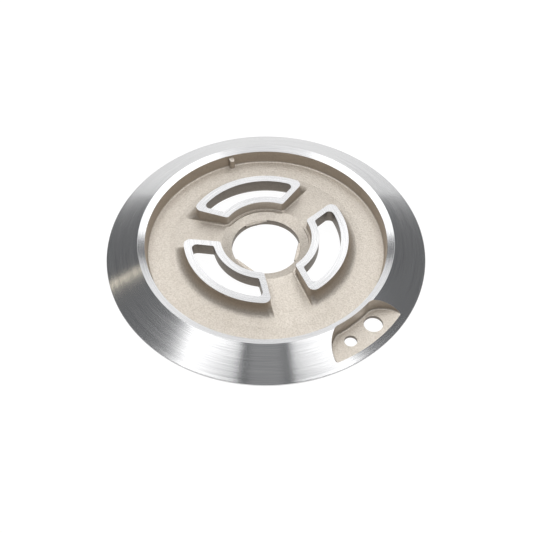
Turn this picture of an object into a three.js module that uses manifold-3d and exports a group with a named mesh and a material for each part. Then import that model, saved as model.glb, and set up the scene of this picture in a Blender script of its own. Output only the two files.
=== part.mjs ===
// A burner base ring of a gas hob: one aluminium die casting with a turned rim.
// Millimetres, +Z up. The origin is the centre of the plane that the casting rests on.
// It is cast in one piece: dish, rim, slot bosses and sensor pocket share one wall,
// so the group holds one mesh, joined from the short functions below.

import * as THREE from 'three';
import { mergeVertices } from 'three/addons/utils/BufferGeometryUtils.js';
import Module from 'manifold-3d';

// Driving dimensions -------------------------------------------------------------------

// The turned rim: a straight bevel that climbs inwards to a narrow land.
const rimRadius = 75;
const rimEdge = 0.8;
const landHeight = 9.9;
const landOuterRadius = 59.75;
const landWidth = 3.25;
const landFall = 1.35;

// The cast dish inside the land.
const dishHeight = 2.3;
const dishDraft = 0.9;
const dishFootFillet = 0.9;
const troughWidth = 9.9;
const coneRise = 2.9;
const funnelWidth = 5;
const funnelFall = 2.2;

// The bore in the middle, with its three short lips.
const boreRadius = 16;
const lipReach = 1.5;
const lipHalfAngle = 20;
const lipThickness = 1.1;

// The raised slot bosses.
const bossCount = 3;
const firstBossAngle = 108;
const bossTop = 10.4;
const bossSetback = 0.3;
const bossDepth = 17.1;
const bossEndAngle = 54;
const bossEndOffset = 5.3;
const bossOuterCorner = 3;
const bossInnerCorner = 1.6;
const bossWall = 3.5;
const bossEndWall = 2.9;
const coveRadius = 4.9;
const slotOuterCorner = 2.2;
const slotInnerCorner = 1.2;
const slotReliefWidth = 1.6;
const slotReliefHeight = 2.2;

// The locating rib on the dish wall, in line with the first boss.
const ribWidth = 2.5;
const ribReach = 2.3;
const ribBelowLand = 1.2;

// The sensor pocket in the rim, with a hole for the igniter and one for the thermocouple.
const pocketAngle = -48.8;
const pocketFloor = 2.65;
const pocketFloorThickness = 1.7;
const pocketLandCut = 0.95;
const pocketEndRadius = 13.9;
const pocketEndSetback = 12.7;
const pocketEndSpread = 6.6;
const pocketWall = 2;
const sensorHoleSetback = 6.35;
const igniterHole = { turn: 6, diameter: 8.7 };
const thermocoupleHole = { turn: -6.3, diameter: 5.8 };

// The walls of the casting, as hollowed from below.
const floorWall = 2.3;
const rimWall = 2.2;
const dishWall = 2.3;
const boreCollar = 3.5;

// How finely round stretches are faceted, and how far a cut runs past a face.
const turnSegments = 96;
const arcStep = 7.5;
const overrun = 1;

// Derived sizes ------------------------------------------------------------------------

const landInnerRadius = landOuterRadius - landWidth;
const landInnerHeight = landHeight - landFall;
const dishFootRadius = landInnerRadius - dishDraft;
const troughInnerRadius = dishFootRadius - troughWidth;
const crestRadius = boreRadius + funnelWidth;
const crestHeight = dishHeight + coneRise;
const boreEdgeHeight = crestHeight - funnelFall;
const bossInnerRadius = crestRadius + bossSetback;
const bossOuterRadius = bossInnerRadius + bossDepth;
const pocketInnerRadius = landOuterRadius - pocketLandCut;
const coneSlope = coneRise / (troughInnerRadius - crestRadius);
const bevelSlope = (landHeight - rimEdge) / (rimRadius - landOuterRadius);
const bevelDrop = rimWall * Math.hypot(1, bevelSlope);

const degrees = Math.PI / 180;
const wasm = await Module();
wasm.setup();

// Geometry to solid and back -------------------------------------------------------------

function solid(geometry) {
  const bare = geometry.clone();
  bare.deleteAttribute('normal');
  bare.deleteAttribute('uv');
  const welded = mergeVertices(bare, 1e-4);
  return new wasm.Manifold(new wasm.Mesh({
    numProp: 3,
    vertProperties: new Float32Array(welded.attributes.position.array),
    triVerts: new Uint32Array(welded.index.array),
  }));
}

function geometryOf(body) {
  const mesh = body.getMesh();
  const geometry = new THREE.BufferGeometry();
  geometry.setAttribute('position', new THREE.BufferAttribute(mesh.vertProperties, 3));
  geometry.setIndex(new THREE.BufferAttribute(mesh.triVerts, 1));
  geometry.computeVertexNormals();
  return geometry;
}

// A closed profile of [radius, height] points, counterclockwise, turned about Z.
function turned(profile) {
  const points = [...profile, profile[0]].map(([r, z]) => new THREE.Vector2(r, z));
  const geometry = new THREE.LatheGeometry(points, turnSegments);
  return solid(geometry.rotateX(Math.PI / 2));
}

// An outline of Vector2 points carried from one height to another.
function prism(outline, bottom, top) {
  const options = { depth: top - bottom, bevelEnabled: false };
  const geometry = new THREE.ExtrudeGeometry(new THREE.Shape(outline), options);
  return solid(geometry.translate(0, 0, bottom));
}

// A solid whose outline changes with height: layers are { z, outline }, lowest first,
// and every outline has the same number of points, counterclockwise.
function lofted(layers) {
  const count = layers[0].outline.length;
  const positions = layers.flatMap(({ z, outline }) => outline.flatMap(({ x, y }) => [x, y, z]));
  const faces = [];
  for (let layer = 0; layer + 1 < layers.length; layer += 1) {
    for (let i = 0; i < count; i += 1) {
      const low = layer * count + i;
      const next = layer * count + (i + 1) % count;
      faces.push(low, next, next + count, low, next + count, low + count);
    }
  }
  const lowest = THREE.ShapeUtils.triangulateShape(layers[0].outline, []);
  const highest = THREE.ShapeUtils.triangulateShape(layers.at(-1).outline, []);
  const lift = (layers.length - 1) * count;
  lowest.forEach(([a, b, c]) => faces.push(a, c, b));
  highest.forEach(([a, b, c]) => faces.push(a + lift, b + lift, c + lift));
  const geometry = new THREE.BufferGeometry();
  geometry.setAttribute('position', new THREE.Float32BufferAttribute(positions, 3));
  geometry.setIndex(faces);
  return solid(geometry);
}

// Outlines -------------------------------------------------------------------------------

function polar(radius, angle) {
  return new THREE.Vector2(radius * Math.cos(angle), radius * Math.sin(angle));
}

// Points of an arc, both ends included. The number of points depends only on `steps`.
function arc(centre, radius, from, to, steps) {
  return Array.from({ length: steps + 1 }, (_, i) => {
    const angle = from + (to - from) * (i / steps);
    return polar(radius, angle).add(centre);
  });
}

function aboutZ(outline, angle) {
  const centre = new THREE.Vector2();
  return outline.map((point) => point.clone().rotateAround(centre, angle * degrees));
}

// A kidney about +X: two arcs round the axis, joined by straight ends that run at
// `endAngle` to +X and pass the axis at a distance of `endOffset`, with rounded corners.
function kidney({ inner, outer, endAngle, endOffset, outerCorner, innerCorner }) {
  const along = polar(1, endAngle * degrees);
  const across = polar(1, endAngle * degrees - Math.PI / 2);
  const cornerCentre = (radius, corner) => {
    const offset = endOffset + corner;
    return across.clone().multiplyScalar(offset)
      .add(along.clone().multiplyScalar(Math.sqrt(radius ** 2 - offset ** 2)));
  };
  const far = cornerCentre(outer - outerCorner, outerCorner);
  const near = cornerCentre(inner + innerCorner, innerCorner);
  const outward = endAngle * degrees + Math.PI / 2;
  const farAngle = far.angle();
  const nearAngle = near.angle();
  const axis = new THREE.Vector2();
  const upper = [
    ...arc(far, outerCorner, farAngle, outward, 5),
    ...arc(near, innerCorner, outward, nearAngle + Math.PI, 4),
  ];
  const lower = upper.map(({ x, y }) => new THREE.Vector2(x, -y)).reverse();
  const steps = Math.round(2 * endAngle / arcStep);
  return [
    ...arc(axis, outer, -farAngle, farAngle, steps).slice(1, -1),
    ...upper,
    ...arc(axis, inner, nearAngle, -nearAngle, steps).slice(1, -1),
    ...lower,
  ];
}

// The pocket's outline, `grown` outwards: a wall round the axis and two rounded ends,
// open past the rim. Local +X points from the axis to the middle of the pocket.
function pocketOutline(grown) {
  const radius = pocketEndRadius + grown;
  const wall = pocketInnerRadius - grown;
  const centre = new THREE.Vector2(pocketInnerRadius + pocketEndSetback, pocketEndSpread);
  const reach = centre.length();
  const between = Math.acos((wall ** 2 + reach ** 2 - radius ** 2) / (2 * wall * reach));
  const corner = polar(wall, centre.angle() + between);
  const cornerAngle = corner.clone().sub(centre).angle();
  const end = arc(centre, radius, cornerAngle, Math.PI / 2, 10);
  const beyond = new THREE.Vector2(rimRadius + overrun + grown, centre.y + radius);
  const upper = [...end, beyond];
  const lower = upper.map(({ x, y }) => new THREE.Vector2(x, -y)).reverse();
  const wallSteps = Math.round(2 * corner.angle() / degrees / 3);
  const inner = arc(new THREE.Vector2(), wall, -corner.angle(), corner.angle(), wallSteps);
  const outline = [...lower, ...inner.slice(1, -1), ...upper].reverse();
  return aboutZ(outline, pocketAngle);
}

// Sub-parts ------------------------------------------------------------------------------

// The turned body: bore, funnel, cone, trough, dish wall, land and bevel over a flat foot.
function body() {
  const filletSteps = 3;
  const fillet = arc(
    new THREE.Vector2(dishFootRadius - dishFootFillet, dishHeight + dishFootFillet),
    dishFootFillet, 0, -Math.PI / 2, filletSteps,
  ).map(({ x, y }) => [x, y]);
  return turned([
    [boreRadius, 0],
    [rimRadius, 0],
    [rimRadius, rimEdge],
    [landOuterRadius, landHeight],
    [landInnerRadius, landInnerHeight],
    ...fillet,
    [troughInnerRadius, dishHeight],
    [crestRadius, crestHeight],
    [boreRadius, boreEdgeHeight],
  ]);
}

// The space under the floor, between the bore's collar and the foot below the trough.
function floorHollow() {
  const collarRadius = boreRadius + boreCollar;
  const roof = (radius) => crestHeight - floorWall - coneSlope * (radius - crestRadius);
  const endRadius = crestRadius + (crestHeight - floorWall + overrun) / coneSlope;
  return turned([
    [collarRadius, -overrun],
    [endRadius, -overrun],
    [crestRadius, roof(crestRadius)],
    [collarRadius, roof(crestRadius)],
  ]);
}

// The ring-shaped space under the rim, with the pocket's own walls left standing in it.
function rimHollow() {
  const wallFoot = dishFootRadius + dishWall;
  const wallTop = landInnerRadius + dishWall - rimWall / 4;
  const roofHeight = landHeight - bevelDrop;
  const footRadius = rimRadius - (bevelDrop - rimEdge) / bevelSlope;
  const ring = turned([
    [wallFoot, -overrun],
    [footRadius + overrun / bevelSlope, -overrun],
    [landOuterRadius, roofHeight],
    [wallTop, roofHeight - landFall * (landOuterRadius - wallTop) / landWidth],
  ]);
  const underside = pocketFloor - pocketFloorThickness;
  return ring.subtract(prism(pocketOutline(pocketWall), underside, landHeight));
}

function bossLayer(z, outer, outerCorner) {
  const outline = kidney({
    inner: bossInnerRadius,
    outer,
    endAngle: bossEndAngle,
    endOffset: bossEndOffset,
    outerCorner,
    innerCorner: bossInnerCorner,
  });
  return { z, outline };
}

// A boss: upright inner and end walls, and an outer wall that flares into the dish floor
// in a cove. The outer corners sharpen as the cove spreads.
function boss(angle) {
  const coveSteps = 4;
  const foot = dishHeight - floorWall / 2;
  const layers = [bossLayer(foot, bossOuterRadius + coveRadius, bossOuterCorner / 6)];
  for (let i = 0; i <= coveSteps; i += 1) {
    const turn = (i / coveSteps) * Math.PI / 2;
    const outer = bossOuterRadius + coveRadius * (1 - Math.sin(turn));
    const z = dishHeight + coveRadius * (1 - Math.cos(turn));
    const corner = bossOuterCorner * (1 + 5 * i / coveSteps) / 6;
    layers.push(bossLayer(z, outer, corner));
  }
  layers.push(bossLayer(bossTop, bossOuterRadius, bossOuterCorner));
  return lofted(layers.map(({ z, outline }) => ({ z, outline: aboutZ(outline, angle) })));
}

// The slot through a boss, with its lower edge relieved all round.
function slot(angle) {
  const middle = (bossInnerRadius + bossOuterRadius) / 2;
  const turnIn = (offset) => Math.asin(offset / middle) / degrees;
  const endOffset = bossEndOffset + bossWall;
  const endAngle = bossEndAngle + turnIn(endOffset) - turnIn(bossEndOffset)
    - bossEndWall / middle / degrees;
  const layer = (z, grown) => ({
    z,
    outline: aboutZ(kidney({
      inner: bossInnerRadius + bossWall - grown,
      outer: bossOuterRadius - bossWall + grown,
      endAngle,
      endOffset: endOffset - grown,
      outerCorner: slotOuterCorner + grown,
      innerCorner: slotInnerCorner + grown,
    }), angle),
  });
  const roof = crestHeight - floorWall - coneSlope * (middle - crestRadius);
  const relief = slotReliefWidth * (roof + overrun + slotReliefHeight) / slotReliefHeight;
  return lofted([
    layer(-overrun, relief),
    layer(roof + slotReliefHeight, 0),
    layer(bossTop + overrun, 0),
  ]);
}

// A lip: a thin flat-faced shelf that reaches into the bore at the foot of the funnel.
function lip(angle) {
  const chord = boreRadius - lipReach;
  const halfAngle = lipHalfAngle * degrees;
  const seat = boreRadius + lipReach;
  const outline = [
    new THREE.Vector2(chord, -chord * Math.tan(halfAngle)),
    ...arc(new THREE.Vector2(), seat, -halfAngle, halfAngle, 4),
    new THREE.Vector2(chord, chord * Math.tan(halfAngle)),
  ];
  return prism(aboutZ(outline, angle), boreEdgeHeight - lipThickness, boreEdgeHeight);
}

function rib(angle) {
  const half = ribWidth / 2;
  const tip = dishFootRadius - ribReach;
  const root = landInnerRadius + dishWall / 2;
  const nose = arc(new THREE.Vector2(tip + half, 0), half, 1.5 * Math.PI, Math.PI / 2, 6);
  const outline = [...nose, new THREE.Vector2(root, half), new THREE.Vector2(root, -half)];
  const foot = dishHeight - floorWall / 2;
  return prism(aboutZ(outline.reverse(), angle), foot, landInnerHeight - ribBelowLand);
}

function pocket() {
  return prism(pocketOutline(0), pocketFloor, landHeight + overrun);
}

// A hole through the pocket's floor, turned from the pocket's middle about the axis.
function sensorHole({ turn, diameter }) {
  const centre = polar(pocketInnerRadius + sensorHoleSetback, (pocketAngle + turn) * degrees);
  const outline = arc(centre, diameter / 2, 0, 2 * Math.PI, 32).slice(0, -1);
  return prism(outline, -overrun, pocketFloor + overrun);
}

// The casting ----------------------------------------------------------------------------

function casting() {
  const angles = Array.from({ length: bossCount }, (_, i) => firstBossAngle + i * 360 / bossCount);
  const added = [...angles.map(boss), ...angles.map(lip), rib(firstBossAngle)];
  const removed = [
    floorHollow(),
    rimHollow(),
    ...angles.map(slot),
    pocket(),
    sensorHole(igniterHole),
    sensorHole(thermocoupleHole),
  ];
  const full = added.reduce((sum, piece) => sum.add(piece), body());
  return removed.reduce((rest, piece) => rest.subtract(piece), full);
}

const aluminium = new THREE.MeshStandardMaterial({
  name: 'cast aluminium',
  color: 0xc6beb2,
  roughness: 0.6,
  metalness: 0.9,
});

const part = new THREE.Group();
const mesh = new THREE.Mesh(geometryOf(casting()), aluminium);
mesh.name = 'burner_base_casting';
part.add(mesh);

export default part;
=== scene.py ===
import math

import bmesh
import bpy
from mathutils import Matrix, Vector


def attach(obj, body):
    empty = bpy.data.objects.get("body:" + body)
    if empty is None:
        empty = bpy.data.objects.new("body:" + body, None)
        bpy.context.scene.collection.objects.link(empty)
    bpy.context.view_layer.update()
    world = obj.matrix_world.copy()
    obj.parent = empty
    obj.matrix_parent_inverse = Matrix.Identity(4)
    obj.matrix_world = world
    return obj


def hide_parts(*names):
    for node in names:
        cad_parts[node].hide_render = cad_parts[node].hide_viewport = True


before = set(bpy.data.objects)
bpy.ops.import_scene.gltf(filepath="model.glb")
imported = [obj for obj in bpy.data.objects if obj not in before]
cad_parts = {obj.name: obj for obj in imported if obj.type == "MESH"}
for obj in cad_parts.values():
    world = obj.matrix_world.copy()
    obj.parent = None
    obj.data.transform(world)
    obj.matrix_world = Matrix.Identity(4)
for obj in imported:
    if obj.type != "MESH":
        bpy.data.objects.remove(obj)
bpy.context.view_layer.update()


# The turned body ----------------------------------------------------------------------
# The whole part is one aluminium die casting, all of it as it left the die except the
# rim, the narrow land inside it and the tops of the bosses, which are turned bright.
# The body is round: bore, funnel, cone, trough, dish wall, land, bevel and a flat foot.

rim_radius = 0.075
rim_edge = 0.00083
rim_break_radius = 0.0736
bevel_foot_height = 0.0008
land_height = 0.0099
land_outer_radius = 0.05975
land_inner_radius = 0.0565
land_inner_height = 0.00855
bevel_slope = (land_height - bevel_foot_height) / (rim_radius - land_outer_radius)
rim_break_height = land_height - bevel_slope * (rim_break_radius - land_outer_radius)
dish_height = 0.0023
dish_foot_radius = 0.0556
trough_outer_radius = 0.0505
trough_inner_radius = 0.0457
crest_radius = 0.021
crest_height = 0.0052
bore_radius = 0.016
bore_edge_height = 0.003
bore_corner = 0.0003
rim_foot_corner = 0.0002
rim_edge_corner = 0.00035
rim_break_corner = 0.004
land_outer_corner = 0.00012
land_inner_corner = 0.0001
dish_foot_corner = 0.0009
trough_corner = 0.006
crest_corner = 0.0009
cone_step = 0.004
body_turns = 360


def rounded(corners, steps=5):
    """A closed profile whose corners (x, y, radius) are rounded, each to its own radius."""
    points = []
    almost_straight = math.radians(89.9)
    for i, (x, y, radius) in enumerate(corners):
        corner = Vector((x, y))
        back = (Vector(corners[i - 1][:2]) - corner).normalized()
        ahead = (Vector(corners[(i + 1) % len(corners)][:2]) - corner).normalized()
        half = back.angle(ahead) / 2
        if not radius or half > almost_straight:
            points.append((x, y))
            continue
        centre = corner + (back + ahead).normalized() * radius / math.sin(half)
        start = corner + back * radius / math.tan(half) - centre
        end = corner + ahead * radius / math.tan(half) - centre
        first = math.atan2(start.y, start.x)
        sweep = math.remainder(math.atan2(end.y, end.x) - first, math.tau)
        reach = start.length
        for step in range(steps + 1):
            angle = first + sweep * step / steps
            points.append((centre.x + reach * math.cos(angle), centre.y + reach * math.sin(angle)))
    return points


def placed(name, mesh):
    """An object of that mesh, at the origin."""
    data = bpy.data.meshes.new(name)
    mesh.to_mesh(data)
    mesh.free()
    piece = bpy.data.objects.new(name, data)
    bpy.context.scene.collection.objects.link(piece)
    return piece


def turned(name, profile, turns):
    """A closed profile of (radius, height) points, anticlockwise, turned about Z."""
    mesh = bmesh.new()
    rings = []
    for step in range(turns):
        angle = math.tau * step / turns
        ring = [mesh.verts.new((r * math.cos(angle), r * math.sin(angle), z)) for r, z in profile]
        rings.append(ring)
    for this, after in zip(rings, rings[1:] + rings[:1]):
        for i in range(len(profile)):
            j = (i + 1) % len(profile)
            mesh.faces.new((this[i], after[i], after[j], this[j]))
    return placed(name, mesh)


def floor_height(radius):
    """The height of the cast floor at that radius: the cone, then the flat trough."""
    share = (radius - crest_radius) / (trough_inner_radius - crest_radius)
    return crest_height + (dish_height - crest_height) * min(share, 1)


cone_rings = [
    (radius, floor_height(radius), 0)
    for radius in [trough_inner_radius - cone_step * k for k in range(1, 6)]
]
body = turned("body", rounded([
    (bore_radius, 0, bore_corner),
    (rim_radius, 0, rim_foot_corner),
    (rim_radius, rim_edge, rim_edge_corner),
    (rim_break_radius, rim_break_height, rim_break_corner),
    (land_outer_radius, land_height, land_outer_corner),
    (land_inner_radius, land_inner_height, land_inner_corner),
    (dish_foot_radius, dish_height, dish_foot_corner),
    (trough_outer_radius, dish_height, 0),
    (trough_inner_radius, dish_height, trough_corner),
    *cone_rings,
    (crest_radius, crest_height, crest_corner),
    (bore_radius, bore_edge_height, bore_corner),
]), body_turns)


# The three bosses ---------------------------------------------------------------------
# Each boss is a raised kidney cast on the floor, where gas and air rise to the crown. Its
# inner and end walls stand upright on a low pad, its outer wall flares in a cove, and its
# top is turned flat.

boss_count = 3
first_boss_angle = math.radians(108)
boss_top = 0.0104
boss_inner_radius = 0.0213
boss_outer_radius = 0.0384
boss_end_angle = math.radians(54)
boss_end_offset = 0.0053
boss_outer_corner = 0.003
boss_inner_corner = 0.0016
boss_foot_fillet = 0.0006
pad_height = 0.00025
pad_reach = 0.0007
pad_edge_slope = 0.2
root_depth = 0.0008
cove_radius = 0.0049
cove_sink = 0.00003
cove_start = 0.8
cove_corner_left = 0.2
cove_steps = 8
corner_steps = 8
side_steps = 54


def polar(radius, angle):
    return Vector((radius * math.cos(angle), radius * math.sin(angle)))


def arc(centre, radius, start, end, steps):
    return [centre + polar(radius, start + (end - start) * i / steps) for i in range(steps + 1)]


def kidney(inner, outer, end_angle, end_offset, outer_corner, inner_corner):
    """An outline about +X: two arcs round the axis and two straight ends, corners rounded."""
    along = polar(1, end_angle)
    across = polar(1, end_angle - math.pi / 2)

    def corner_centre(radius, corner):
        offset = end_offset + corner
        return across * offset + along * math.sqrt(radius ** 2 - offset ** 2)

    far = corner_centre(outer - outer_corner, outer_corner)
    near = corner_centre(inner + inner_corner, inner_corner)
    far_angle = math.atan2(far.y, far.x)
    near_angle = math.atan2(near.y, near.x)
    outward = end_angle + math.pi / 2
    axis = Vector((0, 0))
    end = arc(far, outer_corner, far_angle, outward, corner_steps)
    end += arc(near, inner_corner, outward, near_angle + math.pi, corner_steps)
    other_end = [Vector((x, -y)) for x, y in reversed(end)]
    outer_arc = arc(axis, outer, -far_angle, far_angle, side_steps)[1:-1]
    inner_arc = arc(axis, inner, near_angle, -near_angle, side_steps)[1:-1]
    return [*outer_arc, *end, *inner_arc, *other_end]


def lofted(name, layers):
    """A closed solid through layers of (x, y, z) points, lowest first, each anticlockwise."""
    mesh = bmesh.new()
    rings = [[mesh.verts.new(point) for point in layer] for layer in layers]
    for low, high in zip(rings, rings[1:]):
        for i in range(len(low)):
            j = (i + 1) % len(low)
            mesh.faces.new((low[i], low[j], high[j], high[i]))
    mesh.faces.new(reversed(rings[0]))
    mesh.faces.new(rings[-1])
    return placed(name, mesh)


def boss_layer(spread, grown, height):
    """The boss's outline: spread is the share of the cove left, and grown widens the rest."""
    outline = kidney(
        boss_inner_radius - grown,
        boss_outer_radius + cove_radius * spread,
        boss_end_angle,
        boss_end_offset - grown,
        boss_outer_corner * (1 - (1 - cove_corner_left) * min(spread, 1)),
        boss_inner_corner + grown,
    )
    return [(x, y, height(math.hypot(x, y))) for x, y in outline]


def outward_share(radius):
    """0 over the boss's inner and end walls, growing to 1 at its outer wall."""
    share = (radius - boss_inner_radius) / (boss_outer_radius - boss_inner_radius)
    share = min(max((share - cove_start) / (1 - cove_start), 0), 1)
    return share * share * (3 - 2 * share)


def pad_layer(grown, lift, spread):
    """A layer of the low pad, which stands proud of the floor but sinks into it at the cove."""

    def height(radius):
        share = outward_share(radius)
        sunk = cove_sink + grown * pad_edge_slope
        return floor_height(radius) + lift * (1 - share) - sunk * share

    return boss_layer(spread, boss_foot_fillet + grown, height)


def foot_layer(turn):
    """A layer of the foot: turn 0 on the pad, 90 degrees where the wall starts."""
    spread = 1 - math.sin(turn)
    rise = 1 - math.cos(turn)

    def height(radius):
        share = outward_share(radius)
        fillet = boss_foot_fillet + (cove_radius - boss_foot_fillet) * share
        lift = pad_height * (1 - share) - cove_sink * (1 - rise) * share
        return floor_height(radius) + lift + fillet * rise

    return boss_layer(spread, boss_foot_fillet * spread, height)


def repeating_tree():
    """Geometry nodes that repeat a piece round the axis, at even angles from the first one."""
    tree = bpy.data.node_groups.new("round_the_axis", "GeometryNodeTree")
    tree.is_modifier = True
    sockets = tree.interface
    sockets.new_socket("Piece", in_out="INPUT", socket_type="NodeSocketGeometry")
    sockets.new_socket("Count", in_out="INPUT", socket_type="NodeSocketInt")
    sockets.new_socket("First Angle", in_out="INPUT", socket_type="NodeSocketFloat")
    sockets.new_socket("Finish", in_out="INPUT", socket_type="NodeSocketMaterial")
    sockets.new_socket("Pieces", in_out="OUTPUT", socket_type="NodeSocketGeometry")
    nodes, links = tree.nodes, tree.links
    given = nodes.new("NodeGroupInput")
    points = nodes.new("GeometryNodePoints")
    index = nodes.new("GeometryNodeInputIndex")
    pitch = nodes.new("ShaderNodeMath")
    pitch.operation = "DIVIDE"
    pitch.inputs[0].default_value = math.tau
    angle = nodes.new("ShaderNodeMath")
    angle.operation = "MULTIPLY_ADD"
    euler = nodes.new("ShaderNodeCombineXYZ")
    rotation = nodes.new("FunctionNodeEulerToRotation")
    instances = nodes.new("GeometryNodeInstanceOnPoints")
    realized = nodes.new("GeometryNodeRealizeInstances")
    finish = nodes.new("GeometryNodeSetMaterial")
    result = nodes.new("NodeGroupOutput")
    links.new(given.outputs["Count"], points.inputs["Count"])
    links.new(given.outputs["Count"], pitch.inputs[1])
    links.new(index.outputs[0], angle.inputs[0])
    links.new(pitch.outputs[0], angle.inputs[1])
    links.new(given.outputs["First Angle"], angle.inputs[2])
    links.new(angle.outputs[0], euler.inputs["Z"])
    links.new(euler.outputs[0], rotation.inputs[0])
    links.new(points.outputs[0], instances.inputs["Points"])
    links.new(given.outputs["Piece"], instances.inputs["Instance"])
    links.new(rotation.outputs[0], instances.inputs["Rotation"])
    links.new(instances.outputs[0], realized.inputs[0])
    links.new(realized.outputs[0], finish.inputs["Geometry"])
    links.new(given.outputs["Finish"], finish.inputs["Material"])
    links.new(finish.outputs[0], result.inputs[0])
    return tree


def plain(piece):
    """Turns a piece's modifiers into its own mesh."""
    shaped = piece.evaluated_get(bpy.context.evaluated_depsgraph_get())
    mesh = bpy.data.meshes.new_from_object(shaped)
    piece.modifiers.clear()
    piece.data = mesh
    return piece


round_the_axis = repeating_tree()
cast_skin = bpy.data.materials.new("cast skin")


def repeated(piece):
    """The piece three times round the axis, in line with the bosses."""
    modifier = piece.modifiers.new("repeat", "NODES")
    modifier.node_group = round_the_axis
    values = {"Count": boss_count, "First Angle": first_boss_angle, "Finish": cast_skin}
    for socket in round_the_axis.interface.items_tree:
        if socket.name in values:
            modifier[socket.identifier] = values[socket.name]
    return plain(piece)


# Each layer of the pad spreads a little less than the one below, so that no two coincide.
bosses = repeated(lofted("bosses", [
    boss_layer(
        1.04,
        boss_foot_fillet + pad_reach,
        lambda radius: floor_height(radius) - root_depth,
    ),
    pad_layer(pad_reach, -0.00002, 1.03),
    pad_layer(pad_reach * 0.75, pad_height * 0.75, 1.02),
    pad_layer(pad_reach * 0.4, pad_height, 1.01),
    *[foot_layer(math.pi / 2 * i / cove_steps) for i in range(cove_steps + 1)],
    boss_layer(0, 0, lambda radius: boss_top),
]))


# The slots ----------------------------------------------------------------------------
# One slot runs right through each boss. Its walls are as cast, and its lower edge is
# relieved all round where the floor is hollowed below.

slot_wall = 0.0035
slot_end_wall = 0.0029
slot_outer_corner = 0.0022
slot_inner_corner = 0.0012
slot_relief_width = 0.0016
slot_relief_height = 0.0022
floor_wall = 0.0023
overrun = 0.001

slot_middle = (boss_inner_radius + boss_outer_radius) / 2
slot_end_offset = boss_end_offset + slot_wall
slot_end_angle = (
    boss_end_angle
    + math.asin(slot_end_offset / slot_middle)
    - math.asin(boss_end_offset / slot_middle)
    - slot_end_wall / slot_middle
)


def slot_layer(height, grown):
    outline = kidney(
        boss_inner_radius + slot_wall - grown,
        boss_outer_radius - slot_wall + grown,
        slot_end_angle,
        slot_end_offset - grown,
        slot_outer_corner + grown,
        slot_inner_corner + grown,
    )
    return [(x, y, height) for x, y in outline]


slot_roof = floor_height(slot_middle) - floor_wall
slot_relief = slot_relief_width * (slot_roof + overrun + slot_relief_height) / slot_relief_height
slots = repeated(lofted("slots", [
    slot_layer(-overrun, slot_relief),
    slot_layer(slot_roof + slot_relief_height, 0),
    slot_layer(boss_top + overrun, 0),
]))


# The lips of the bore -----------------------------------------------------------------
# Three short flat shelves reach into the bore at the foot of the funnel, one in line with
# each boss. They stop the injector cup from rising.

lip_reach = 0.0015
lip_half_angle = math.radians(20)
lip_thickness = 0.0011
lip_edge = 0.0002


def lip_layer(height, pulled_in):
    chord = bore_radius - lip_reach + pulled_in
    half = lip_half_angle - pulled_in / bore_radius
    seat = arc(Vector((0, 0)), bore_radius + lip_reach, -half, half, 12)
    tip = [Vector((chord, chord * math.tan(half))), Vector((chord, -chord * math.tan(half)))]
    return [(x, y, height) for x, y in [*seat, *tip]]


lips = repeated(lofted("lips", [
    lip_layer(bore_edge_height - lip_thickness, 0),
    lip_layer(bore_edge_height - lip_edge, 0),
    lip_layer(bore_edge_height, lip_edge),
]))


# The rib ------------------------------------------------------------------------------
# One short rib with a round nose stands on the dish wall, in line with the first boss. It
# keys the crown so that it sits one way round.

rib_width = 0.0025
rib_reach = 0.0023
rib_height = 0.00735
rib_edge = 0.0003
rib_fillet = 0.0005
rib_root_depth = 0.0011
rib_sunk = 0.001
rib_steps = 4


def rib_layer(height, grown):
    half = rib_width / 2 + grown
    tip = dish_foot_radius - rib_reach + rib_width / 2
    root = land_inner_radius + rib_root_depth
    nose = arc(Vector((tip, 0)), half, 1.5 * math.pi, 0.5 * math.pi, 12)
    outline = [*reversed(nose), Vector((root, -half)), Vector((root, half))]
    turn = first_boss_angle
    return [
        (x * math.cos(turn) - y * math.sin(turn), x * math.sin(turn) + y * math.cos(turn), height)
        for x, y in outline
    ]


rib_turns = [math.pi / 2 * i / rib_steps for i in range(rib_steps + 1)]
rib = lofted("rib", [
    rib_layer(dish_height - rib_sunk, rib_fillet),
    *[
        rib_layer(
            dish_height + rib_fillet * (1 - math.cos(turn)),
            rib_fillet * (1 - math.sin(turn)),
        )
        for turn in rib_turns
    ],
    *[
        rib_layer(rib_height - rib_edge * (1 - math.sin(turn)), -rib_edge * (1 - math.cos(turn)))
        for turn in rib_turns
    ],
])


# The sensor pocket --------------------------------------------------------------------
# A pocket cut down through the bevel, as cast, with a larger hole for the spark igniter
# and a smaller one for the thermocouple through its floor.

pocket_angle = math.radians(-48.8)
pocket_floor = 0.00265
pocket_inner_radius = 0.0588
pocket_end_radius = 0.0139
pocket_end_setback = 0.0127
pocket_end_spread = 0.0066
pocket_fillet = 0.0008
pocket_draft = 0.0003
pocket_overreach = 0.002
sensor_hole_radius = 0.06515
igniter_hole = (math.radians(6), 0.0087)
thermocouple_hole = (math.radians(-6.3), 0.0058)


def pocket_layer(height, grown):
    """The pocket's outline, open past the rim: a wall round the axis and two round ends."""
    radius = pocket_end_radius + grown
    wall = pocket_inner_radius - grown
    centre = Vector((pocket_inner_radius + pocket_end_setback, pocket_end_spread))
    reach = centre.length
    between = math.acos((wall ** 2 + reach ** 2 - radius ** 2) / (2 * wall * reach))
    corner_angle = math.atan2(centre.y, centre.x) + between
    arm = polar(wall, corner_angle) - centre
    end = arc(centre, radius, math.atan2(arm.y, arm.x), math.pi / 2, 28)
    end.append(Vector((rim_radius + pocket_overreach + grown, centre.y + radius)))
    wall_arc = arc(Vector((0, 0)), wall, corner_angle, -corner_angle, 24)[1:-1]
    other_end = [Vector((x, -y)) for x, y in end]
    outline = [*reversed(end), *wall_arc, *other_end]
    turn = pocket_angle
    return [
        (x * math.cos(turn) - y * math.sin(turn), x * math.sin(turn) + y * math.cos(turn), height)
        for x, y in outline
    ]


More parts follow.
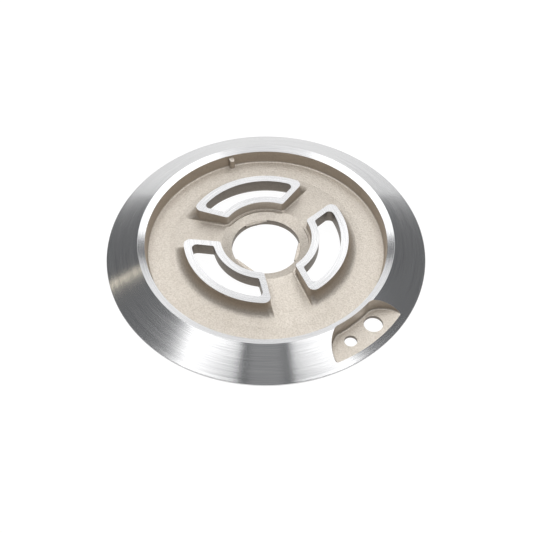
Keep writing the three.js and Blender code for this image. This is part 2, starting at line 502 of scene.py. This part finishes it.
fillet_turns = [math.pi / 2 * i / 5 for i in range(6)]
pocket = lofted("pocket", [
    *[
        pocket_layer(
            pocket_floor + pocket_fillet * (1 - math.cos(turn)),
            -pocket_draft - pocket_fillet * (1 - math.sin(turn)),
        )
        for turn in fillet_turns
    ],
    pocket_layer(land_height + overrun, 0),
])


def sensor_hole(name, turn, diameter):
    centre = polar(sensor_hole_radius, pocket_angle + turn)
    outline = arc(centre, diameter / 2, 0, math.tau, 72)[:-1]
    heights = [-overrun, pocket_floor + overrun]
    return lofted(name, [[(x, y, z) for x, y in outline] for z in heights])


holes = [
    sensor_hole("igniter_hole", *igniter_hole),
    sensor_hole("thermocouple_hole", *thermocouple_hole),
]


# The underside ------------------------------------------------------------------------
# The casting is hollowed from below to an even wall, in two rings: one under the floor and
# one under the rim. The walls of the sensor pocket are left standing in the second.

rim_wall = 0.0022
dish_wall = 0.0023
bore_collar = 0.0035
pocket_floor_thickness = 0.0017
pocket_wall = 0.002
hollow_fillet = 0.0006
hollow_ease = 0.0004
hollow_turns = 180

collar_radius = bore_radius + bore_collar
cone_slope = (crest_height - dish_height) / (trough_inner_radius - crest_radius)
hollow_end_radius = crest_radius + (crest_height - floor_wall + overrun) / cone_slope
hollow_roof = crest_height - floor_wall
floor_hollow = turned("floor_hollow", rounded([
    (collar_radius, -overrun, 0),
    (hollow_end_radius, -overrun, 0),
    (crest_radius + hollow_ease, hollow_roof, hollow_fillet),
    (collar_radius, hollow_roof, hollow_fillet),
]), hollow_turns)

bevel_drop = rim_wall * math.hypot(1, bevel_slope)
rim_hollow_foot = rim_radius - (bevel_drop - bevel_foot_height) / bevel_slope
rim_hollow_roof = land_height - bevel_drop
rim_hollow_top = land_inner_radius + dish_wall - rim_wall / 4
land_share = (land_outer_radius - rim_hollow_top) / (land_outer_radius - land_inner_radius)
land_fall = (land_height - land_inner_height) * land_share
rim_hollow = turned("rim_hollow", rounded([
    (dish_foot_radius + dish_wall, -overrun, 0),
    (rim_hollow_foot + overrun / bevel_slope, -overrun, 0),
    (land_outer_radius, rim_hollow_roof, hollow_fillet),
    (rim_hollow_top, rim_hollow_roof - land_fall, 0),
]), hollow_turns)
pocket_body = lofted("pocket_body", [
    pocket_layer(pocket_floor - pocket_floor_thickness, pocket_wall),
    pocket_layer(land_height, pocket_wall),
])


# Joining the casting ------------------------------------------------------------------
# The solids become the one casting: what stands on the body is joined to it, and what is
# hollow is cut from it. The turned faces then take a finish of their own, and the walls of
# the openings a darker skin of painted shade.

same_point = 1e-6
turned_reach = 0.00006
rim_reach = 0.00005
bore_reach = 0.0002
hole_reach = 0.0001
lathe_facing = 0.2
upright_facing = 0.6
sharp_edge = math.radians(26)


def combined(piece, others, operation):
    """The piece with the others joined to it ("UNION") or cut from it ("DIFFERENCE")."""
    for other in others:
        modifier = piece.modifiers.new(other.name, "BOOLEAN")
        modifier.operation = operation
        modifier.solver = "MANIFOLD"
        modifier.object = other
    plain(piece)
    for other in others:
        bpy.data.objects.remove(other)
    return piece


combined(rim_hollow, [pocket_body], "DIFFERENCE")
casting = combined(body, [bosses, lips, rib], "UNION")
combined(casting, [floor_hollow, rim_hollow, slots, pocket, *holes], "DIFFERENCE")
casting.name = "burner_base_ring"

tidy = bmesh.new()
tidy.from_mesh(casting.data)
bmesh.ops.remove_doubles(tidy, verts=tidy.verts, dist=same_point)
bmesh.ops.dissolve_degenerate(tidy, edges=tidy.edges, dist=same_point)
tidy.to_mesh(casting.data)
tidy.free()

turned_face = bpy.data.materials.new("turned face")
painted_shade_skin = bpy.data.materials.new("opening painted shade")
finishes_and_painted_shade = [cast_skin, turned_face, painted_shade_skin]
casting.data.materials.clear()
for finish in finishes_and_painted_shade:
    casting.data.materials.append(finish)


def is_turned(face):
    """Whether the lathe cut a face: on the rim's edge, the bevel, the land or a boss's top."""
    radius = face.center.xy.length
    if face.normal.z < lathe_facing:
        return radius > rim_radius - rim_reach
    if radius > rim_break_radius:
        return True
    if radius > land_outer_radius:
        line = land_height - bevel_slope * (radius - land_outer_radius)
    elif radius > land_inner_radius:
        share = (radius - land_inner_radius) / (land_outer_radius - land_inner_radius)
        line = land_inner_height + (land_height - land_inner_height) * share
    else:
        line = boss_top
    return abs(face.center.z - line) < turned_reach


def is_opening_wall(face):
    """Whether a face is the wall of a slot, of the bore or of a sensor hole, where shade is
    painted on.
    """
    place = face.center.xy
    radius = place.length
    if abs(face.normal.z) > upright_facing:
        return False
    if radius < bore_radius + bore_reach:
        return True
    for turn, diameter in (igniter_hole, thermocouple_hole):
        centre = polar(sensor_hole_radius, pocket_angle + turn)
        if (place - centre).length < diameter / 2 + hole_reach:
            return True
    slot_inner = boss_inner_radius + slot_wall - slot_relief_width
    slot_outer = boss_outer_radius - slot_wall + slot_relief_width
    if not slot_inner < radius < slot_outer:
        return False
    turn = math.atan2(place.y, place.x) - first_boss_angle
    turn = abs(math.remainder(turn, math.tau / boss_count))
    return radius * math.sin(boss_end_angle - turn) > boss_end_offset + slot_end_wall / 2


def finish_or_painted_shade_of(face):
    if is_turned(face):
        return turned_face
    # The walls of the openings take the darker skin: painted shade.
    return painted_shade_skin if is_opening_wall(face) else cast_skin


for face in casting.data.polygons:
    face.material_index = finishes_and_painted_shade.index(finish_or_painted_shade_of(face))
    face.use_smooth = True
casting.data.set_sharp_from_angle(angle=sharp_edge)

# Where a turned face meets the cast skin, the cut leaves a crisp edge at any angle.
turned_index = finishes_and_painted_shade.index(turned_face)
edged = bmesh.new()
edged.from_mesh(casting.data)
for edge in edged.edges:
    meeting = {face.material_index for face in edge.link_faces}
    if turned_index in meeting and len(meeting) > 1:
        edge.smooth = False
edged.to_mesh(casting.data)
edged.free()
weighted = casting.modifiers.new("weighted", "WEIGHTED_NORMAL")
weighted.keep_sharp = True
plain(casting)

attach(casting, "root")
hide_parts("burner_base_casting")


# The cast skin ------------------------------------------------------------------------
# Die-cast aluminium, bare after blasting: a warm grey, matt and finely grained, a little darker
# and redder in patches, with painted shade on its upright walls. The walls of the openings take
# a darker copy of it as painted shade, because the floor lights them more than a plain table
# would.

grain_size = 0.0007
patch_size = 0.008
speck_contrast = 2.1
speck_start = -0.8
skin_roughness = 0.36
grain_roughness = 0.2
grain_relief = 0.0002
skin_metallic = 0.85
wall_until = 0.1
face_from = 0.95


def node_group(name, inputs, outputs):
    """An empty shader node group with those sockets, and its input and output nodes."""
    tree = bpy.data.node_groups.new(name, "ShaderNodeTree")
    for socket in inputs:
        tree.interface.new_socket(socket, in_out="INPUT", socket_type="NodeSocketFloat")
    for socket in outputs:
        tree.interface.new_socket(socket, in_out="OUTPUT", socket_type="NodeSocketFloat")
    return tree, tree.nodes.new("NodeGroupInput"), tree.nodes.new("NodeGroupOutput")


def noise(tree, vector, scale, detail, roughness=0.5):
    node = tree.nodes.new("ShaderNodeTexNoise")
    node.inputs["Detail"].default_value = detail
    node.inputs["Roughness"].default_value = roughness
    if isinstance(scale, (int, float)):
        node.inputs["Scale"].default_value = scale
    else:
        tree.links.new(scale, node.inputs["Scale"])
    tree.links.new(vector, node.inputs["Vector"])
    return node.outputs["Fac"]


def maths(tree, operation, *values):
    node = tree.nodes.new("ShaderNodeMath")
    node.operation = operation
    for i, value in enumerate(values):
        if isinstance(value, (int, float)):
            node.inputs[i].default_value = value
        else:
            tree.links.new(value, node.inputs[i])
    return node.outputs[0]


def blended(tree, share, first, second):
    """A colour between two, which are colours or sockets."""
    node = tree.nodes.new("ShaderNodeMix")
    node.data_type = "RGBA"
    tree.links.new(share, node.inputs["Factor"])
    for socket, value in ((node.inputs[6], first), (node.inputs[7], second)):
        if isinstance(value, tuple):
            socket.default_value = value
        else:
            tree.links.new(value, socket)
    return node.outputs[2]


def grain_group():
    """Fine grain and broad patches, by place on the piece."""
    tree, given, result = node_group(
        "cast grain", ["Grain Size", "Patch Size"], ["Grain", "Patches"]
    )
    place = tree.nodes.new("ShaderNodeTexCoord").outputs["Object"]
    fine = maths(tree, "DIVIDE", 1, given.outputs["Grain Size"])
    broad = maths(tree, "DIVIDE", 1, given.outputs["Patch Size"])
    tree.links.new(noise(tree, place, fine, 3, 0.6), result.inputs["Grain"])
    tree.links.new(noise(tree, place, broad, 4), result.inputs["Patches"])
    return tree


def placed_group(material, group, **values):
    node = material.node_tree.nodes.new("ShaderNodeGroup")
    node.node_tree = group
    for name, value in values.items():
        node.inputs[name.replace("_", " ")].default_value = value
    return node


def shader_of(material):
    material.use_nodes = True
    return material.node_tree.nodes["Principled BSDF"]


def bumped(tree, height, strength, distance):
    node = tree.nodes.new("ShaderNodeBump")
    node.inputs["Strength"].default_value = strength
    node.inputs["Distance"].default_value = distance
    tree.links.new(height, node.inputs["Height"])
    return node.outputs["Normal"]


cast_grain = grain_group()


def cast_finish_and_painted_shade(material, low_tone, high_tone, painted_shade_wall_tone, speck_tone):
    """Bare cast metal: grain, patches, and upright walls painted darker than the faces that look
    up: painted shade.
    """
    shader = shader_of(material)
    tree = material.node_tree
    grain = placed_group(material, cast_grain, Grain_Size=grain_size, Patch_Size=patch_size)
    tone = blended(tree, grain.outputs["Patches"], low_tone, high_tone)
    facing = tree.nodes.new("ShaderNodeSeparateXYZ")
    tree.links.new(tree.nodes.new("ShaderNodeTexCoord").outputs["Normal"], facing.inputs[0])
    # Upright walls take the darker tone: painted shade, where less light falls than on faces that
    # look up.
    facing_up_share = tree.nodes.new("ShaderNodeMapRange")
    facing_up_share.interpolation_type = "SMOOTHSTEP"
    facing_up_share.inputs["From Min"].default_value = wall_until
    facing_up_share.inputs["From Max"].default_value = face_from
    tree.links.new(facing.outputs["Z"], facing_up_share.inputs["Value"])
    tone = blended(tree, facing_up_share.outputs["Result"], painted_shade_wall_tone, tone)
    speckle = maths(tree, "MULTIPLY_ADD", grain.outputs["Grain"], speck_contrast, speck_start)
    tree.links.new(blended(tree, speckle, tone, speck_tone), shader.inputs["Base Color"])
    dullness = maths(
        tree, "MULTIPLY_ADD", grain.outputs["Grain"], grain_roughness, skin_roughness
    )
    tree.links.new(dullness, shader.inputs["Roughness"])
    relief = bumped(tree, grain.outputs["Grain"], 1.0, grain_relief)
    tree.links.new(relief, shader.inputs["Normal"])
    shader.inputs["Metallic"].default_value = skin_metallic


cast_finish_and_painted_shade(
    cast_skin,
    low_tone=(0.665, 0.61, 0.54, 1),
    high_tone=(0.73, 0.68, 0.615, 1),
    painted_shade_wall_tone=(0.56, 0.495, 0.425, 1),
    speck_tone=(0.47, 0.415, 0.35, 1),
)
# The darker copy for the walls of the openings: painted shade.
cast_finish_and_painted_shade(
    painted_shade_skin,
    low_tone=(0.25, 0.22, 0.185, 1),
    high_tone=(0.29, 0.26, 0.22, 1),
    painted_shade_wall_tone=(0.205, 0.18, 0.152, 1),
    speck_tone=(0.165, 0.142, 0.12, 1),
)


# The turned faces ---------------------------------------------------------------------
# Bare aluminium straight off the lathe. The tool leaves fine rings round the axis, so
# the light stretches along the radius and fans out round the rim.

line_pitch = 0.0003
line_drift = 2.2
line_contrast = 1.5
line_start = -0.2
line_strength = 0.1
line_depth = 0.00002
band_width = 0.0014
band_drift = 1.5
band_roughness = 0.05
turned_roughness = 0.165
turned_stretch = 0.8


def turning_group():
    """The rings that a lathe tool leaves: lines by radius, a little uneven along their way."""
    tree, given, result = node_group(
        "turning lines", ["Pitch", "Band Width"], ["Lines", "Bands"]
    )
    place = tree.nodes.new("ShaderNodeTexCoord").outputs["Object"]
    flat = tree.nodes.new("ShaderNodeVectorMath")
    flat.operation = "MULTIPLY"
    flat.inputs[1].default_value = (1, 1, 0)
    tree.links.new(place, flat.inputs[0])
    length = tree.nodes.new("ShaderNodeVectorMath")
    length.operation = "LENGTH"
    tree.links.new(flat.outputs[0], length.inputs[0])
    radius = length.outputs["Value"]
    direction = tree.nodes.new("ShaderNodeVectorMath")
    direction.operation = "NORMALIZE"
    tree.links.new(flat.outputs[0], direction.inputs[0])

    def rings(width, stretch):
        """Noise over the radius in steps of the width, which drifts slowly along the ring."""
        around = tree.nodes.new("ShaderNodeVectorMath")
        around.operation = "SCALE"
        around.inputs["Scale"].default_value = stretch
        tree.links.new(direction.outputs[0], around.inputs[0])
        apart = tree.nodes.new("ShaderNodeSeparateXYZ")
        tree.links.new(around.outputs[0], apart.inputs[0])
        joined = tree.nodes.new("ShaderNodeCombineXYZ")
        tree.links.new(apart.outputs["X"], joined.inputs["X"])
        tree.links.new(apart.outputs["Y"], joined.inputs["Y"])
        tree.links.new(maths(tree, "DIVIDE", radius, width), joined.inputs["Z"])
        return noise(tree, joined.outputs[0], 1.0, 3, 0.6)

    tree.links.new(rings(given.outputs["Pitch"], line_drift), result.inputs["Lines"])
    tree.links.new(rings(given.outputs["Band Width"], band_drift), result.inputs["Bands"])
    return tree


turning_lines = turning_group()
bright = shader_of(turned_face)
bright_tree = turned_face.node_tree
rings = placed_group(turned_face, turning_lines, Pitch=line_pitch, Band_Width=band_width)
ring_tone = maths(
    bright_tree, "MULTIPLY_ADD", rings.outputs["Lines"], line_contrast, line_start
)
bright_tree.links.new(
    blended(bright_tree, ring_tone, (0.50, 0.50, 0.51, 1), (0.78, 0.78, 0.78, 1)),
    bright.inputs["Base Color"],
)
ring_roughness = maths(
    bright_tree, "MULTIPLY_ADD", rings.outputs["Bands"], band_roughness, turned_roughness
)
bright_tree.links.new(ring_roughness, bright.inputs["Roughness"])
bright_tree.links.new(
    bumped(bright_tree, rings.outputs["Lines"], line_strength, line_depth),
    bright.inputs["Normal"],
)
along_radius = bright_tree.nodes.new("ShaderNodeVectorMath")
along_radius.operation = "MULTIPLY"
along_radius.inputs[1].default_value = (1, 1, 0)
bright_tree.links.new(
    bright_tree.nodes.new("ShaderNodeTexCoord").outputs["Object"],
    along_radius.inputs[0],
)
bright_tree.links.new(along_radius.outputs[0], bright.inputs["Tangent"])
bright.inputs["Metallic"].default_value = 1
bright.inputs["Anisotropic"].default_value = turned_stretch


# The floor ----------------------------------------------------------------------------
# A plain pale light table, so that no hard shadow falls and the openings show white.

floor_size = 6
floor_drop = 0.0001
floor_glow = 0.96
floor_mesh = bmesh.new()
bmesh.ops.create_grid(floor_mesh, x_segments=1, y_segments=1, size=floor_size / 2)
bmesh.ops.translate(floor_mesh, verts=floor_mesh.verts, vec=(0, 0, -floor_drop))
floor = placed("floor", floor_mesh)
pale = bpy.data.materials.new("pale floor")
pale_shader = shader_of(pale)
pale_shader.inputs["Base Color"].default_value = (0.1, 0.1, 0.1, 1)
pale_shader.inputs["Roughness"].default_value = 0.9
pale_shader.inputs["Specular IOR Level"].default_value = 0
pale_shader.inputs["Emission Color"].default_value = (1, 1, 1, 1)
pale_shader.inputs["Emission Strength"].default_value = floor_glow
floor.data.materials.append(pale)


# The studio ---------------------------------------------------------------------------
# A dim grey room with two large soft boxes overhead, left and right. Dimmer boxes fill the
# gap between them at the top, the back and the front, a soft white wall stands behind, and
# a narrow warm strip is low on the left.

room_glow = 0.16

room = bpy.data.worlds.new("room")
room.use_nodes = True
bpy.context.scene.world = room
room_light = room.node_tree.nodes["Background"]
room_light.inputs["Color"].default_value = (0.95, 0.97, 1, 1)
room_light.inputs["Strength"].default_value = room_glow


def soft_box(name, place, facing, width, height, brightness, colour=(1, 1, 1)):
    """A flat lamp that faces one way. Brightness is the radiance of its face."""
    lamp = bpy.data.lights.new(name, "AREA")
    lamp.shape = "RECTANGLE"
    lamp.size = width
    lamp.size_y = height
    lamp.energy = brightness * math.pi * width * height
    lamp.color = colour
    stand = bpy.data.objects.new(name, lamp)
    stand.location = place
    stand.rotation_euler = Vector(facing).to_track_quat("-Z", "Y").to_euler()
    bpy.context.scene.collection.objects.link(stand)


down = (0, 0, -1)
warm = (1, 0.9, 0.7)
soft_box("left_box", (-0.52, 0.2, 1.0), down, 0.6, 1.56, 2.0)
soft_box("right_box", (0.52, 0.2, 1.0), down, 0.6, 1.56, 2.0)
soft_box("top_box", (0, 0.17, 1.02), down, 0.42, 0.7, 1.0)
soft_box("back_box", (0, 0.95, 1.0), down, 0.5, 0.7, 1.2)
soft_box("back_wall", (0, 1.3, 0.52), (0, -1, 0), 1.6, 0.84, 1.05)
soft_box("front_box", (0, -0.5, 1.0), down, 0.3, 0.6, 0.2)
soft_box("warm_strip", (-0.98, 0.41, 0.54), (0.82, -0.34, -0.45), 0.035, 0.5, 1.8, warm)


# The camera ---------------------------------------------------------------------------
# It stands in front and looks down on the part at about 51 degrees.

eye = bpy.data.cameras.new("camera")
eye.sensor_width = 36
eye.lens = 71.42
camera = bpy.data.objects.new("camera", eye)
camera.location = (0, -0.3147, 0.3886)
aim = Vector((0.00024, -0.0097, 0)) - camera.location
camera.rotation_mode = "QUATERNION"
camera.rotation_quaternion = aim.to_track_quat("-Z", "Y")
bpy.context.scene.collection.objects.link(camera)
bpy.context.scene.camera = camera
bpy.context.scene.view_settings.view_transform = "Standard"
